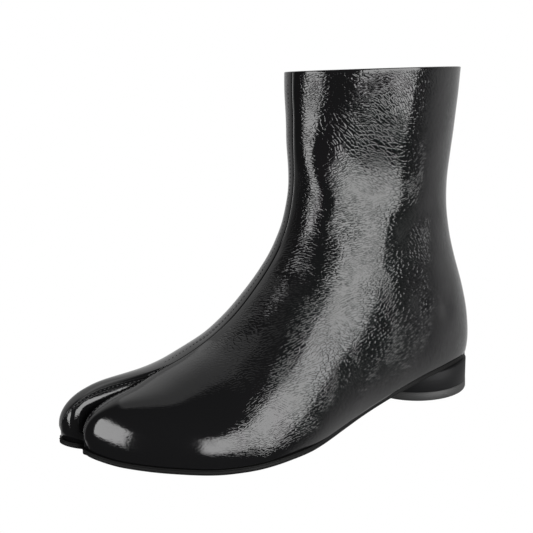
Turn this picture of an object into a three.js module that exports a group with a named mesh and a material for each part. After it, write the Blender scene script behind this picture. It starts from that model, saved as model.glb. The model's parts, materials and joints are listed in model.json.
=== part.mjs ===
import * as THREE from 'three'

// A split-toe ankle boot for the left foot, in millimetres.
// +X points to the toes, +Y to the outer side of the foot and +Z up.
// The origin is on the floor, under the middle of the round heel.

const size = {
  length: 256, // back of the foot to the longest toe
  ballWidth: 92, // across the ball of the foot
  heelHeight: 22.5, // floor to the seat of the foot over the heel
  toeSpring: 8, // lift of the sole at the toe tips
  instep: 91, // from the sole up to the ridge where foot and shaft meet
  collar: 190, // from the sole up to the collar, at the front
  wall: 1.8, // leather with its lining
  soleThickness: 3.4,
  insoleThickness: 2.0,
  topPieceThickness: 5.5,
  heelRadius: 30.8,
  heelFlare: 0.4, // how much wider the heel block is at its top
  toeGap: 4.2, // width of the cleft between the toes at the tips
  seamHalf: 1.2, // half the width of the groove along the front seam
  seamDepth: 0.7,
  clearance: 0.3, // between curved pieces that lie on each other
  insolePlay: 1.0, // from the insole's edge to the lining
}

// Where the cleft ends and where each toe ends, as shares of the length,
// with the sideways place of each tip as a share of the ball's width.
const cleft = { end: 0.664, run: 0.035, open: 0.12, shoulder: 0.177 }
const toes = {
  outer: { tip: 0.8504, y: -0.05 },
  inner: { tip: 0.8747, y: -0.2555 },
}
// Lengths over which a toe rounds off in front: outline, cleft side and ridge.
// The powers say how square the outline and the ridge are there.
const nose = { outline: 0.21, cleftSide: 0.045, ridge: 0.22, tuck: 0.024, outlinePower: 2.25, ridgePower: 2.12 }

// Sections of the upper from the toes up to the collar. Each is an arc in a
// slanted plane from the ridge in front to a foot point underneath or behind.
//   tx, bx  ridge and foot point along the boot, shares of the length
//   ti, tc  height of the ridge over the sole, shares of the instep and of
//           the rest of the way up to the collar
//   bh      height of the foot point over the sole, share of the collar
//   out, in half widths to the outer and inner side, shares of the ball width
//   seam    place of the seam sideways, share of the ball width
//   wide    how far down from the ridge the section is widest
//   no, ni  roundness of the arc above the widest line, outer and inner side
//   nl      roundness of the arc below it
const sectionColumns = ['tx', 'ti', 'tc', 'bx', 'bh', 'out', 'in', 'seam', 'wide', 'no', 'ni', 'nl']
const sections = [
  [0.885, 0.388, 0, 0.885, -0.12, 0.15, 0.398, -0.106, 0.512, 2.25, 2.25, 2.6],
  [0.807, 0.407, 0, 0.807, -0.11, 0.245, 0.425, -0.123, 0.545, 2.25, 2.25, 2.6],
  [0.728, 0.417, 0, 0.728, -0.105, 0.358, 0.486, -0.087, 0.59, 2.1, 2.2, 2.5],
  [0.653, 0.476, 0, 0.653, -0.105, 0.45, 0.52, -0.05, 0.64, 1.93, 2.1, 2.4],
  [0.575, 0.5675, 0, 0.575, -0.105, 0.528, 0.505, -0.036, 0.68, 1.92, 2.1, 2.4],
  [0.497, 0.7, 0, 0.492, -0.105, 0.537, 0.477, -0.032, 0.68, 1.95, 2, 2.4],
  [0.433, 0.87, 0, 0.39, -0.1, 0.515, 0.438, -0.025, 0.66, 2, 2, 2.4],
  [0.385, 1.003, 0.025, 0.266, -0.105, 0.472, 0.4, -0.015, 0.62, 2, 2, 2.4],
  [0.3555, 1, 0.165, 0.125, -0.12, 0.443, 0.377, -0.009, 0.58, 2.1, 2, 2.4],
  [0.341, 1, 0.281, -0.03, -0.105, 0.417, 0.371, -0.009, 0.56, 2.2, 2, 2.4],
  [0.3345, 1, 0.375, -0.111, -0.045, 0.393, 0.365, -0.008, 0.54, 2.3, 2, 2.4],
  [0.333, 1, 0.458, -0.129, 0.072, 0.37, 0.36, -0.004, 0.53, 2.25, 2, 2.3],
  [0.333, 1, 0.549, -0.111, 0.23, 0.342, 0.358, 0, 0.51, 2, 2, 2.2],
  [0.332, 1, 0.654, -0.078, 0.413, 0.333, 0.363, 0, 0.5, 1.8, 2, 2.1],
  [0.33, 1, 0.77, -0.077, 0.576, 0.366, 0.376, 0, 0.5, 1.7, 2, 2],
  [0.33, 1, 0.886, -0.092, 0.737, 0.407, 0.395, 0, 0.5, 1.65, 2, 2],
  [0.327, 1, 1, -0.106, 0.91, 0.443, 0.416, 0, 0.5, 1.65, 2, 2],
]

// Height of the sole's upper face along the boot: x as a share of the length,
// the heel's share of the lift and the toe spring's share.
const soleLift = [
  [-0.16, 1, 0],
  [-0.04, 0.99, 0],
  [0.06, 0.9, 0],
  [0.137, 0.745, 0],
  [0.234, 0.47, 0],
  [0.332, 0.18, 0],
  [0.395, 0.035, 0],
  [0.437, 0, 0],
  [0.547, 0, 0],
  [0.625, 0, 0],
  [0.723, 0, 0.3],
  [0.8, 0, 0.61],
  [0.9, 0, 1.46],
]

// How far the outsole stands out past the upper: x as a share of the length
// and the step as a share of the sole's thickness.
const soleEdge = [
  [-0.16, -0.12],
  [0.06, -0.12],
  [0.2, -0.3],
  [0.36, -0.15],
  [0.47, 0.3],
  [0.7, 0.35],
  [0.9, 0.35],
]

// A smooth curve through a table of rows, one row per whole number or x value.
class Curve {
  constructor(xs, rows) {
    this.xs = xs
    this.rows = rows
    this.width = rows[0].length
    this.bends = this.solve()
  }

  // Second derivatives at the knots of a natural cubic spline.
  solve() {
    const { xs, rows } = this
    const n = xs.length
    const bends = rows.map(() => new Array(this.width).fill(0))
    const factor = new Array(n).fill(0)
    for (let i = 1; i < n - 1; i++) {
      const before = xs[i] - xs[i - 1]
      const after = xs[i + 1] - xs[i]
      const pivot = 2 * (before + after) - before * factor[i - 1]
      factor[i] = after / pivot
      for (let c = 0; c < this.width; c++) {
        const rise = (rows[i + 1][c] - rows[i][c]) / after - (rows[i][c] - rows[i - 1][c]) / before
        bends[i][c] = (6 * rise - before * bends[i - 1][c]) / pivot
      }
    }
    for (let i = n - 2; i > 0; i--) {
      for (let c = 0; c < this.width; c++) bends[i][c] -= factor[i] * bends[i + 1][c]
    }
    return bends
  }

  at(x) {
    const { xs, rows, bends } = this
    let i = 0
    while (i < xs.length - 2 && x > xs[i + 1]) i++
    const span = xs[i + 1] - xs[i]
    const a = (xs[i + 1] - x) / span
    const b = (x - xs[i]) / span
    const out = []
    for (let c = 0; c < this.width; c++) {
      const bend = (a ** 3 - a) * bends[i][c] + (b ** 3 - b) * bends[i + 1][c]
      out.push(a * rows[i][c] + b * rows[i + 1][c] + (bend * span * span) / 6)
    }
    return out
  }
}

// A curve that never overshoots its knots, so level stretches stay level.
function level(table, x, column) {
  const n = table.length
  if (x <= table[0][0]) return table[0][column]
  if (x >= table[n - 1][0]) return table[n - 1][column]
  let i = 0
  while (x > table[i + 1][0]) i++
  const slope = (k) => (table[k + 1][column] - table[k][column]) / (table[k + 1][0] - table[k][0])
  const tangent = (k) => {
    if (k === 0 || k === n - 1) return 0
    const before = slope(k - 1)
    const after = slope(k)
    return before * after <= 0 ? 0 : (2 * before * after) / (before + after)
  }
  const span = table[i + 1][0] - table[i][0]
  const t = (x - table[i][0]) / span
  const h = t * t * (3 - 2 * t)
  return (
    table[i][column] * (1 - h) +
    table[i + 1][column] * h +
    span * (t * (1 - t) ** 2 * tangent(i) - t * t * (1 - t) * tangent(i + 1))
  )
}

const sectionCurve = new Curve(
  sections.map((row, i) => i),
  sections,
)
const lastSection = sections.length - 1

function smooth(t) {
  const u = Math.min(Math.max(t, 0), 1)
  return u * u * (3 - 2 * u)
}

// Falls from 1 at start to 0 at tip, as a superellipse does.
function closing(x, start, tip, power) {
  const u = Math.min(Math.max((x - start) / (tip - start), 0), 1)
  return Math.max(1 - u ** power, 0) ** (1 / power)
}

function mix(a, b, t) {
  return a + (b - a) * t
}

// Height of the face that the foot, the upper's edge and the insole rest on.
function seatHeight(x) {
  const share = x / size.length
  const lift = (size.heelHeight - size.soleThickness) * level(soleLift, share, 1)
  return size.soleThickness + lift + size.toeSpring * level(soleLift, share, 2)
}

// Everything that shapes section s on one side of the boot. The skin is the
// same shape moved inwards by inset, and only its cleft walls by cleftInset.
function sectionFrame(s, side, inset, cleftInset) {
  const row = {}
  sectionCurve.at(s).forEach((value, i) => {
    row[sectionColumns[i]] = value
  })
  const toe = side > 0 ? toes.outer : toes.inner
  const tip = toe.tip * size.length - inset
  const tipY = toe.y * size.ballWidth
  const pull = (tip - sections[0][0] * size.length) * Math.max(1 - s / 2, 0) ** 2
  const x = row.tx * size.length + pull
  const footX = row.bx * size.length + pull
  const top = { x, z: seatHeight(x) + row.ti * size.instep + row.tc * (size.collar - size.instep) }
  const foot = { x: footX, z: seatHeight(footX) + row.bh * size.collar }
  const reach = Math.hypot(foot.x - top.x, foot.z - top.z)
  const down = { x: (foot.x - top.x) / reach, z: (foot.z - top.z) / reach }
  const wide = { x: mix(top.x, foot.x, row.wide), z: mix(top.z, foot.z, row.wide) }

  const inFront = s < 5
  const closeRidge = inFront ? closing(x, tip - nose.ridge * size.length, tip, nose.ridgePower) : 1
  const closeOut = inFront ? closing(x, tip - nose.outline * size.length, tip, nose.outlinePower) : 1
  const closeIn = inFront ? closing(x, tip - nose.cleftSide * size.length, tip, 2.3) : 1
  const above = Math.max((reach * row.wide - inset) * closeRidge, 0.2)
  const below = reach * (1 - row.wide) - inset
  const ridge = { x: wide.x - down.x * above, z: wide.z - down.z * above }
  const bottom = { x: wide.x + down.x * below, z: wide.z + down.z * below }

  const end = cleft.end * size.length - cleftInset
  const run = cleft.run * size.length
  const share = inFront ? smooth((x - end) / run) : 0
  const opened = inFront ? Math.min(Math.max((x - end - run) / (cleft.open * size.length), 0), 1) : 0
  const thickened = inFront ? smooth((x - end - run) / (1.7 * size.wall)) : 0
  const halfGap = (size.toeGap / 2) * opened + cleftInset * thickened
  const seamY = row.seam * size.ballWidth
  const innerY = mix(tipY, seamY + side * halfGap, closeIn)
  const outerY = mix(tipY, side * ((side > 0 ? row.out : row.in) * size.ballWidth - inset), closeOut)
  const lobe = Math.abs(outerY - innerY)
  const rounding = inFront ? smooth((x - end) / (cleft.shoulder * size.length)) : 0
  const shoulder = Math.min(mix(size.seamHalf, 0.45 * lobe, rounding), 0.5 * lobe)
  return {
    ridge,
    wide,
    bottom,
    down,
    innerY,
    outerY,
    crestY: innerY + side * shoulder,
    middleY: inFront ? ((innerY + outerY) / 2) * smooth((x / size.length - 0.47) / 0.2) : 0,
    depth: mix(size.seamDepth, ridge.z - seatHeight(x), share),
    steep: 2 + share + 2 * opened,
    nu: side > 0 ? row.no : row.ni,
    nl: row.nl,
    tuck: nose.tuck * size.length * (1 - closeOut),
  }
}

// A point on the upper's skin. v runs from the bottom of the seam or cleft
// (0) over the crest (1) and the widest line (2) to the sole or the back (3).
function skinPoint(frame, v, lastAngle, side) {
  const { ridge, wide, bottom, down, crestY, innerY, outerY, middleY, steep, nu, nl } = frame
  if (v < 1) {
    const angle = ((1 - v) * Math.PI) / 2
    const y = mix(crestY, innerY, Math.sin(angle) ** (2 / steep))
    const drop = frame.depth * (1 - Math.max(Math.cos(angle), 0) ** (2 / steep))
    return new THREE.Vector3(ridge.x + down.x * drop, y, ridge.z + down.z * drop)
  }
  if (v < 2) {
    const angle = ((v - 1) * Math.PI) / 2
    const y = mix(crestY, outerY, Math.sin(angle) ** (2 / nu))
    const rise = Math.cos(angle) ** (2 / nu)
    return new THREE.Vector3(mix(wide.x, ridge.x, rise), y, mix(wide.z, ridge.z, rise))
  }
  const angle = (v - 2) * lastAngle
  const y = mix(middleY, outerY, Math.max(Math.cos(angle), 0) ** (2 / nl))
  const fall = Math.sin(angle) ** (2 / nl)
  return new THREE.Vector3(
    mix(wide.x, bottom.x, fall) - frame.tuck * fall,
    Math.abs(y) < 1e-6 ? 0 : y,
    mix(wide.z, bottom.z, fall),
  )
}

// The value where a falling function crosses zero.
function crossing(test, low, high) {
  let a = low
  let b = high
  for (let k = 0; k < 50; k++) {
    const middle = (a + b) / 2
    if (test(middle) > 0) a = middle
    else b = middle
  }
  return (a + b) / 2
}

// The angle at which a lower arc meets the sole, or a right angle at the back.
function meetingAngle(frame) {
  const overSole = (angle) => {
    const fall = Math.sin(angle) ** (2 / frame.nl)
    const x = mix(frame.wide.x, frame.bottom.x, fall) - frame.tuck * fall
    return mix(frame.wide.z, frame.bottom.z, fall) - seatHeight(x)
  }
  if (overSole(Math.PI / 2) >= -1e-7) return Math.PI / 2
  return crossing(overSole, 0, Math.PI / 2)
}

const count = { toe: 9, run: 4, foot: 18, seat: 8, shaft: 15, groove: 3, upperArc: 8, lowerArc: 7 }

// Stations along the boot for a skin with these insets, with the places
// where the cleft reaches the sole and where the sections close at the back.
function stationList(inset, cleftInset) {
  const ridgeX = (s) => sectionFrame(s, 1, inset, cleftInset).ridge.x
  const end = cleft.end * size.length - cleftInset
  const floorAt = crossing((s) => ridgeX(s) - end - cleft.run * size.length, 0, 5)
  const endAt = crossing((s) => ridgeX(s) - end, 0, 5)
  const underSole = (s) => {
    const { bottom } = sectionFrame(s, 1, inset, cleftInset)
    return seatHeight(bottom.x) - bottom.z
  }
  const heelAt = crossing(underSole, 7, 14)
  const seatFrom = heelAt - 1.3
  const stations = []
  for (let i = 0; i < count.toe; i++) {
    const turn = ((1 - i / count.toe) * 0.96 * Math.PI) / 2
    stations.push(floorAt * (1 - Math.sin(turn)))
  }
  for (let i = 0; i < count.run; i++) stations.push(mix(floorAt, endAt, i / count.run))
  for (let i = 0; i < count.foot; i++) stations.push(mix(endAt, seatFrom, i / count.foot))
  for (let i = 0; i < count.seat; i++) {
    stations.push(heelAt - (heelAt - seatFrom) * (1 - i / count.seat) ** 2)
  }
  for (let i = 0; i <= count.shaft; i++) stations.push(mix(heelAt, lastSection, i / count.shaft))
  return { stations, floorIndex: count.toe, heelIndex: count.toe + count.run + count.foot + count.seat }
}

// The bottom of the seam's groove, where both sides of the skin meet.
function seamPoint(s, inset, cleftInset) {
  const [outer, inner] = [1, -1].map((side) => {
    return skinPoint(sectionFrame(s, side, inset, cleftInset), 0, 0, side)
  })
  const point = outer.add(inner).multiplyScalar(0.5)
  point.y = sectionFrame(s, 1, 0, 0).innerY
  return point
}

// Rows of points for one side of the skin, one row for each station.
function skinRows(side, inset, cleftInset) {
  const { stations, floorIndex, heelIndex } = stationList(inset, cleftInset)
  const across = count.groove + count.upperArc + count.lowerArc
  const rows = stations.map((s, i) => {
    const frame = sectionFrame(s, side, inset, cleftInset)
    const lastAngle = i >= heelIndex ? Math.PI / 2 : meetingAngle(frame)
    const row = []
    for (let j = 0; j <= across; j++) {
      let v = j / count.groove
      if (j >= count.groove) v = 1 + (j - count.groove) / count.upperArc
      if (j >= count.groove + count.upperArc) v = 2 + (j - count.groove - count.upperArc) / count.lowerArc
      row.push(skinPoint(frame, v, lastAngle, side))
    }
    if (i >= floorIndex) row[0] = seamPoint(s, inset, cleftInset)
    return row
  })
  return { rows, floorIndex, heelIndex }
}

// Collects faces and turns them into one closed mesh with all faces outward.
class Shell {
  constructor() {
    this.points = []
    this.index = new Map()
    this.faces = []
  }

  id(point) {
    const key = [point.x, point.y, point.z].map((value) => Math.round(value * 500)).join(' ')
    if (!this.index.has(key)) {
      this.index.set(key, this.points.length)
      this.points.push(point)
    }
    return this.index.get(key)
  }

  face(a, b, c) {
    const corners = [this.id(a), this.id(b), this.id(c)]
    if (new Set(corners).size === 3) this.faces.push(corners)
  }

  quad(a, b, c, d) {
    this.face(a, b, c)
    this.face(a, c, d)
  }

  // Quads between two lines that have the same number of points.
  strip(lineA, lineB) {
    for (let i = 0; i + 1 < lineA.length; i++) this.quad(lineA[i], lineA[i + 1], lineB[i + 1], lineB[i])
  }

  grid(rows) {
    for (let i = 0; i + 1 < rows.length; i++) this.strip(rows[i], rows[i + 1])
  }

  // Turns neighbouring faces the same way, starting from the first one.
  orient() {
    const byEdge = new Map()
    this.faces.forEach((corners, f) => {
      corners.forEach((a, k) => {
        const b = corners[(k + 1) % 3]
        const key = Math.min(a, b) + ' ' + Math.max(a, b)
        if (!byEdge.has(key)) byEdge.set(key, [])
        byEdge.get(key).push({ f, forward: a < b })
      })
    })
    const turned = new Array(this.faces.length).fill(null)
    turned[0] = false
    const waiting = [0]
    while (waiting.length > 0) {
      const f = waiting.pop()
      this.faces[f].forEach((a, k) => {
        const b = this.faces[f][(k + 1) % 3]
        const pair = byEdge.get(Math.min(a, b) + ' ' + Math.max(a, b))
        const mine = pair.find((entry) => entry.f === f)
        for (const entry of pair) {
          if (turned[entry.f] !== null) continue
          turned[entry.f] = entry.forward === mine.forward ? !turned[f] : turned[f]
          waiting.push(entry.f)
        }
      })
    }
    this.faces = this.faces.map(([a, b, c], f) => (turned[f] ? [a, c, b] : [a, b, c]))
    const volume = this.faces.reduce((sum, [a, b, c]) => {
      const p = this.points[a]
      return sum + p.dot(new THREE.Vector3().crossVectors(this.points[b], this.points[c]))
    }, 0)
    if (volume < 0) this.faces = this.faces.map(([a, b, c]) => [a, c, b])
  }

  mesh(name, color, roughness) {
    this.orient()
    const geometry = new THREE.BufferGeometry()
    const numbers = this.points.flatMap((p) => [p.x, p.y, p.z])
    geometry.setAttribute('position', new THREE.Float32BufferAttribute(numbers, 3))
    geometry.setIndex(this.faces.flat())
    geometry.computeVertexNormals()
    const material = new THREE.MeshStandardMaterial({ color, roughness, metalness: 0 })
    const mesh = new THREE.Mesh(geometry, material)
    mesh.name = name
    return mesh
  }
}

// The line where a skin meets the sole: along the outer side to the toes,
// around both toes and the cleft, and back along the inner side.
function featherLine(outer, inner) {
  const { floorIndex, heelIndex } = outer
  const last = outer.rows[0].length - 1
  const line = []
  for (let i = heelIndex; i >= 0; i--) line.push(outer.rows[i][last])
  for (let i = 0; i <= floorIndex; i++) line.push(outer.rows[i][0])
  for (let i = floorIndex - 1; i >= 0; i--) line.push(inner.rows[i][0])
  for (let i = 0; i <= heelIndex; i++) line.push(inner.rows[i][last])
  return line
}

function buildUpper() {
  const shell = new Shell()
  const skins = [0, size.wall].map((inset) => ({
    outer: skinRows(1, inset, inset),
    inner: skinRows(-1, inset, inset),
  }))
  for (const { outer, inner } of skins) {
    for (const { rows } of [outer, inner]) {
      shell.grid(rows)
      // The narrow front of each toe, closed across the section.
      const tip = rows[0]
      const half = tip.length / 2
      shell.strip(tip.slice(0, Math.ceil(half)), tip.slice(Math.floor(half)).reverse())
    }
  }
  const [outside, inside] = skins
  shell.strip(featherLine(outside.outer, outside.inner), featherLine(inside.outer, inside.inner))
  for (const part of ['outer', 'inner']) {
    shell.strip(outside[part].rows.at(-1), inside[part].rows.at(-1))
  }
  return shell.mesh('upper', 0x0b0b0c, 0.16)
}

// Rows across a flat piece under the foot, from the toes to the heel. Each
// holds the outer edge, two points at the cleft and the inner edge.
function outlineRows(edge, cleftInset) {
  const { stations, floorIndex, heelIndex } = stationList(edge(-0.1), cleftInset)
  const rows = []
  for (let i = 0; i <= heelIndex; i++) {
    const place = sectionFrame(stations[i], 1, 0, 0)
    const share = (place.bottom.x - 0) / size.length
    const ends = [1, -1].map((side) => {
      const frame = sectionFrame(stations[i], side, edge(share), cleftInset)
      const lastAngle = i === heelIndex ? Math.PI / 2 : meetingAngle(frame)
      return { rim: skinPoint(frame, 3, lastAngle, side), cleft: skinPoint(frame, 0, lastAngle, side) }
    })
    const [outer, inner] = ends
    if (i >= floorIndex) {
      const middle = new THREE.Vector3().addVectors(outer.rim, inner.rim).multiplyScalar(0.5)
      if (i === floorIndex) middle.set(outer.cleft.x, place.innerY, 0)
      outer.cleft = middle
      inner.cleft = middle
    }
    rows.push([outer.rim, outer.cleft, inner.cleft, inner.rim])
  }
  return { rows, floorIndex }
}

// A flat piece that follows the foot's seat. Each level has the step of its
// edge inwards and its height over the seat, from the top level down.
function plate(edge, cleftInset, levels) {
  const shell = new Shell()
  const placed = levels.map(({ step, rise }) => {
    const { rows, floorIndex } = outlineRows((share) => edge(share) + step, cleftInset + step)
    for (const row of rows) {
      row.forEach((point, k) => {
        row[k] = new THREE.Vector3(point.x, point.y, seatHeight(point.x) + rise)
      })
    }
    return { rows, floorIndex }
  })
  const around = ({ rows, floorIndex }) => {
    const line = []
    for (let i = rows.length - 1; i >= 0; i--) line.push(rows[i][0])
    for (let i = 0; i <= floorIndex; i++) line.push(rows[i][1])
    for (let i = floorIndex - 1; i >= 0; i--) line.push(rows[i][2])
    for (let i = 0; i < rows.length; i++) line.push(rows[i][3])
    return line
  }
  for (let k = 0; k + 1 < placed.length; k++) shell.strip(around(placed[k]), around(placed[k + 1]))
  for (const { rows } of [placed[0], placed.at(-1)]) {
    shell.grid(rows.map((row) => row.slice(0, 2)))
    shell.grid(rows.map((row) => row.slice(2)))
  }
  return shell
}

function buildInsole() {
  const inset = size.wall + size.insolePlay
  const levels = [
    { step: size.clearance, rise: size.insoleThickness },
    { step: 0, rise: size.insoleThickness - 0.4 },
    { step: 0, rise: 0 },
  ]
  return plate(() => inset, inset, levels).mesh('insole', 0x1a1512, 0.7)
}

function buildOutsole() {
  const edge = (share) => -level(soleEdge, share, 1) * size.soleThickness
  const levels = [
    { step: 0, rise: -size.clearance },
    { step: 0, rise: -0.75 * size.soleThickness },
    { step: 0.25 * size.soleThickness, rise: -size.soleThickness },
  ]
  return plate(edge, 0, levels).mesh('outsole', 0x121212, 0.4)
}

// A round block between two faces. Each level has a radius and a height,
// and the height may change along the boot.
function roundBlock(levels) {
  const shell = new Shell()
  const steps = 44
  const ring = ({ radius, height }, scale) => {
    const line = []
    for (let i = 0; i <= steps; i++) {
      const angle = (i / steps) * 2 * Math.PI
      const x = scale * radius * Math.cos(angle)
      line.push(new THREE.Vector3(x, scale * radius * Math.sin(angle), height(x)))
    }
    return line
  }
  for (let k = 0; k + 1 < levels.length; k++) shell.strip(ring(levels[k], 1), ring(levels[k + 1], 1))
  for (const face of [levels[0], levels.at(-1)]) {
    shell.strip(ring(face, 1), ring(face, 0.66))
    shell.strip(ring(face, 0.66), ring(face, 0.33))
    shell.strip(ring(face, 0.33), ring(face, 0))
  }
  return shell
}

function buildHeel() {
  const underSole = (x) => seatHeight(x) - size.soleThickness - size.clearance
  return roundBlock([
    { radius: size.heelRadius + size.heelFlare, height: underSole },
    { radius: size.heelRadius, height: () => size.topPieceThickness },
  ]).mesh('heel', 0x0c0c0d, 0.3)
}

function buildTopPiece() {
  const bevel = 0.1 * size.topPieceThickness
  return roundBlock([
    { radius: size.heelRadius, height: () => size.topPieceThickness },
    { radius: size.heelRadius, height: () => bevel },
    { radius: size.heelRadius - bevel, height: () => 0 },
  ]).mesh('top_piece', 0x161616, 0.6)
}

const boot = new THREE.Group()
boot.name = 'ankle_boot'
boot.add(buildUpper(), buildInsole(), buildOutsole(), buildHeel(), buildTopPiece())

export default boot
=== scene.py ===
import json
import math

import bmesh
import bpy
import numpy as np
from mathutils import Matrix, Vector

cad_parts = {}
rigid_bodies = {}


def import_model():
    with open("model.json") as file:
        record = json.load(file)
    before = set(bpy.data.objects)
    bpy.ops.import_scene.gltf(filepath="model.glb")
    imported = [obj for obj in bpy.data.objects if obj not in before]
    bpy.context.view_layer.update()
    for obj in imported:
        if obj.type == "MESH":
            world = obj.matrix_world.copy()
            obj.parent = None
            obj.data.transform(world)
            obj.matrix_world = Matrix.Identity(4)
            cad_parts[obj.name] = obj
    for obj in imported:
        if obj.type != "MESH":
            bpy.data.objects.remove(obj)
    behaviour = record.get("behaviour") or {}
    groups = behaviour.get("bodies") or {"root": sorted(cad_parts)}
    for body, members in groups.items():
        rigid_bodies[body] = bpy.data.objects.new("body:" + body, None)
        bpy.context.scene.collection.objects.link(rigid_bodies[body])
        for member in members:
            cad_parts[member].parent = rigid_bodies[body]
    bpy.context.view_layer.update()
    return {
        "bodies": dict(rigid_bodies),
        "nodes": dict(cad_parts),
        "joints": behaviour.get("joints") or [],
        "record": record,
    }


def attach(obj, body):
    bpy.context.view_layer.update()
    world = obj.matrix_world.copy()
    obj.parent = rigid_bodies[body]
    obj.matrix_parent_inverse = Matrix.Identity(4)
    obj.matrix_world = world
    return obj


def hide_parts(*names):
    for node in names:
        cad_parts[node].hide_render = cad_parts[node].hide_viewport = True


# A split-toe ankle boot for the left foot. The shape is worked out in
# millimetres, with +X to the toes, +Y to the outer side and +Z up, and each
# mesh is written in metres.
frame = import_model()
MM = 0.001


# The same surface as the solid model has: sizes in millimetres, and tables that
# hold shares of them

SIZE = dict(
    length=256.0, ball=92.0, heel=22.5, spring=8.0, instep=91.0, collar=190.0, wall=1.8, sole=3.4,
    insole=2.0, top_piece=5.5, heel_radius=30.8, heel_flare=0.4, toe_gap=4.2, seam_half=1.2,
    seam_depth=0.7, clearance=0.3, insole_play=1.0,
)
# The two sides of the boot, as signs of y.
OUTER, INNER = 1, -1
# Where the cleft ends, the length in which it reaches the sole, the length in
# which it opens and the length in which its shoulders round off.
CLEFT = dict(end=0.664, run=0.035, open=0.12, shoulder=0.177)
# Where each toe ends along the boot, and sideways as a share of the ball.
TOES = {OUTER: (0.8504, -0.05), INNER: (0.8747, -0.2555)}
# Lengths over which a toe rounds off in front, how far its outline tucks in
# under it, and how square the ridge, the outline and the cleft side are there.
NOSE = dict(outline=0.21, cleft_side=0.045, ridge=0.22, tuck=0.024, n_ridge=2.12, n_out=2.25, n_cleft=2.3)
# Sections of the upper from the toes up to the collar. Each is an arc in a
# slanted plane from the ridge in front to a foot point underneath or behind.
#   tx, bx   ridge and foot point along the boot, shares of the length
#   ti, tc   height of the ridge over the sole, shares of the instep and of the
#            shaft above it
#   bh       height of the foot point over the sole, share of the collar's
#   out, in  half widths, shares of the ball's width
#   seam     place of the front seam, share of the ball's width
#   wide     how far down from the ridge the section is widest
#   no, ni   roundness of the arc above the widest line, outer and inner side
#   nl       roundness of the arc below it
COLUMNS = "tx ti tc bx bh out in seam wide no ni nl".split()
SECTIONS = np.array([
    [0.885, 0.388, 0, 0.885, -0.12, 0.15, 0.398, -0.106, 0.512, 2.25, 2.25, 2.6],
    [0.807, 0.407, 0, 0.807, -0.11, 0.245, 0.425, -0.123, 0.545, 2.25, 2.25, 2.6],
    [0.728, 0.417, 0, 0.728, -0.105, 0.358, 0.486, -0.087, 0.59, 2.1, 2.2, 2.5],
    [0.653, 0.476, 0, 0.653, -0.105, 0.45, 0.52, -0.05, 0.64, 1.93, 2.1, 2.4],
    [0.575, 0.5675, 0, 0.575, -0.105, 0.528, 0.505, -0.036, 0.68, 1.92, 2.1, 2.4],
    [0.497, 0.7, 0, 0.492, -0.105, 0.537, 0.477, -0.032, 0.68, 1.95, 2, 2.4],
    [0.433, 0.87, 0, 0.39, -0.1, 0.515, 0.438, -0.025, 0.66, 2, 2, 2.4],
    [0.385, 1.003, 0.025, 0.266, -0.105, 0.472, 0.4, -0.015, 0.62, 2, 2, 2.4],
    [0.3555, 1, 0.165, 0.125, -0.12, 0.443, 0.377, -0.009, 0.58, 2.1, 2, 2.4],
    [0.341, 1, 0.281, -0.03, -0.105, 0.417, 0.371, -0.009, 0.56, 2.2, 2, 2.4],
    [0.3345, 1, 0.375, -0.111, -0.045, 0.393, 0.365, -0.008, 0.54, 2.3, 2, 2.4],
    [0.333, 1, 0.458, -0.129, 0.072, 0.37, 0.36, -0.004, 0.53, 2.25, 2, 2.3],
    [0.333, 1, 0.549, -0.111, 0.23, 0.342, 0.358, 0, 0.51, 2, 2, 2.2],
    [0.332, 1, 0.654, -0.078, 0.413, 0.333, 0.363, 0, 0.5, 1.8, 2, 2.1],
    [0.33, 1, 0.77, -0.077, 0.576, 0.366, 0.376, 0, 0.5, 1.7, 2, 2],
    [0.33, 1, 0.886, -0.092, 0.737, 0.407, 0.395, 0, 0.5, 1.65, 2, 2],
    [0.327, 1, 1, -0.106, 0.91, 0.443, 0.416, 0, 0.5, 1.65, 2, 2],
])
LAST = len(SECTIONS) - 1
# Stations before this one belong to the toes and the cleft.
IN_FRONT = 5
# Height of the sole's upper face: x as a share of the length, the heel's share
# of the lift and the toe spring's share.
SOLE_LIFT = np.array([
    [-0.16, 1, 0], [-0.04, 0.99, 0], [0.06, 0.9, 0], [0.137, 0.745, 0], [0.234, 0.47, 0],
    [0.332, 0.18, 0], [0.395, 0.035, 0], [0.437, 0, 0], [0.547, 0, 0], [0.625, 0, 0],
    [0.723, 0, 0.3], [0.8, 0, 0.61], [0.9, 0, 1.46],
])
# How far the sole's edge stands out past the upper: x as a share of the
# length, and the distance in sole thicknesses.
SOLE_EDGE = np.array([
    [-0.16, -0.12], [0.06, -0.12], [0.2, -0.3], [0.36, -0.15], [0.47, 0.3], [0.7, 0.35], [0.9, 0.35],
])
# The least height of a section above its widest line, in mm.
FLATTEST = 0.2
# Inside, the cleft gets its thickness from its end on, over this many walls.
WALL_RUN = 1.7
# Share of a toe's width that its rounded shoulder takes.
LOBE_SHOULDER = 0.45
# Where the toes' undersides part, and over which length, shares of the length.
PARTING, PARTING_RUN = 0.47, 0.2


def spline_bends(rows):
    """Second derivatives of a natural cubic spline with knots at whole numbers."""
    n = len(rows)
    system = np.zeros((n, n))
    system[0, 0] = system[-1, -1] = 1
    right = np.zeros_like(rows)
    for i in range(1, n - 1):
        system[i, i - 1:i + 2] = 1, 4, 1
        right[i] = 6 * (rows[i + 1] - 2 * rows[i] + rows[i - 1])
    return np.linalg.solve(system, right)


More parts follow.
